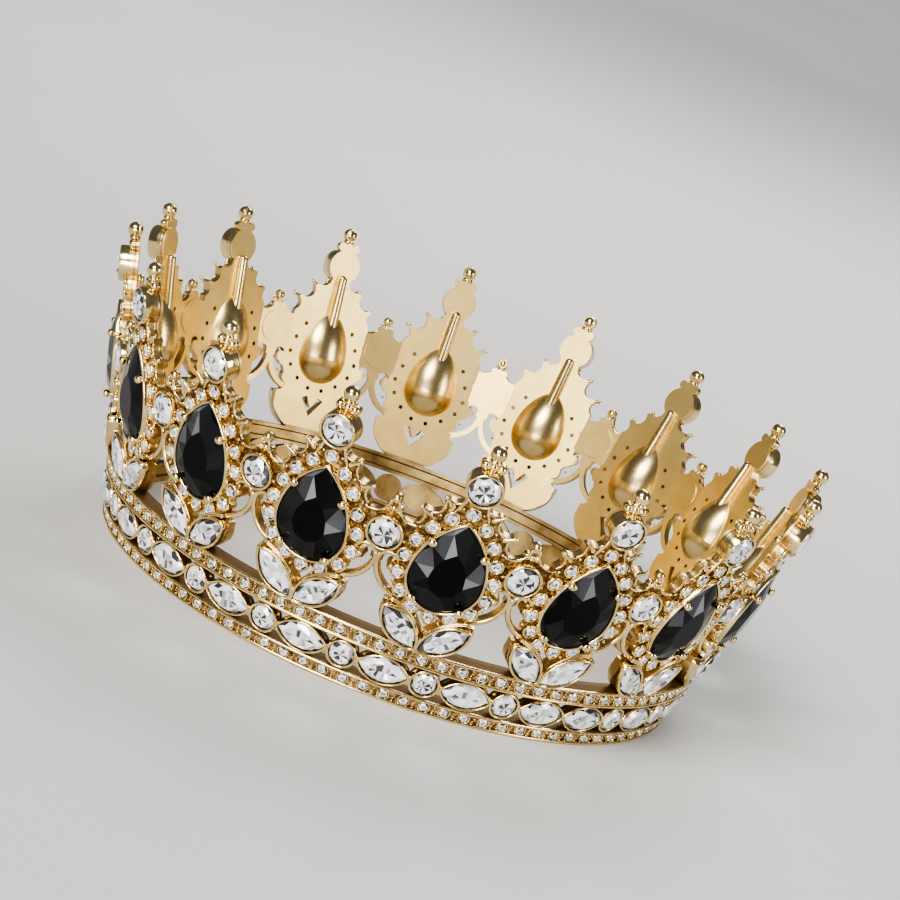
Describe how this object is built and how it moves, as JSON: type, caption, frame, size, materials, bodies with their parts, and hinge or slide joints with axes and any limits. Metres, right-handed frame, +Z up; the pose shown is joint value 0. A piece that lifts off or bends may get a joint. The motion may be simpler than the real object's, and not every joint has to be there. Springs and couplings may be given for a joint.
{
  "type": "rhinestone crown",
  "caption": "Full round crown of flared pear-stone panels with leaf and round clear stones, beaded finials and a stone-set band.",
  "frame": {"origin": "centre of the circle that the band's flat foot stands on", "axes": "+Z up along the crown's axis, -Y towards the panel that faces the viewer, +X to the right"},
  "size_m": [0.1968, 0.1968, 0.0746],
  "materials": {
    "gold_metal": "polished gold plate with brown antique in the recesses, satin inside",
    "black_stone": "opaque black cut glass, gloss",
    "clear_stone": "foil-backed cut clear rhinestone"
  },
  "bodies": {
    "root": {"frame": "gold_metal", "joiner_stones": "clear_stone", "leaf_stones": "clear_stone", "band_marquises": "clear_stone", "band_rounds": "clear_stone", "pear_stone_01": "black_stone", "pear_stone_02": "black_stone", "pear_stone_03": "black_stone", "pear_stone_04": "black_stone", "pear_stone_05": "black_stone", "pear_stone_06": "black_stone", "pear_stone_07": "black_stone", "pear_stone_08": "black_stone", "pear_stone_09": "black_stone", "pear_stone_10": "black_stone", "pear_stone_11": "black_stone", "pear_stone_12": "black_stone", "pear_stone_13": "black_stone", "pear_stone_14": "black_stone", "pear_stone_15": "black_stone", "pear_stone_16": "black_stone", "spire_stone_01": "clear_stone", "spire_stone_02": "clear_stone", "spire_stone_03": "clear_stone", "spire_stone_04": "clear_stone", "spire_stone_05": "clear_stone", "spire_stone_06": "clear_stone", "spire_stone_07": "clear_stone", "spire_stone_08": "clear_stone", "spire_stone_09": "clear_stone", "spire_stone_10": "clear_stone", "spire_stone_11": "clear_stone", "spire_stone_12": "clear_stone", "spire_stone_13": "clear_stone", "spire_stone_14": "clear_stone", "spire_stone_15": "clear_stone", "spire_stone_16": "clear_stone"}
  },
  "joints": []
}
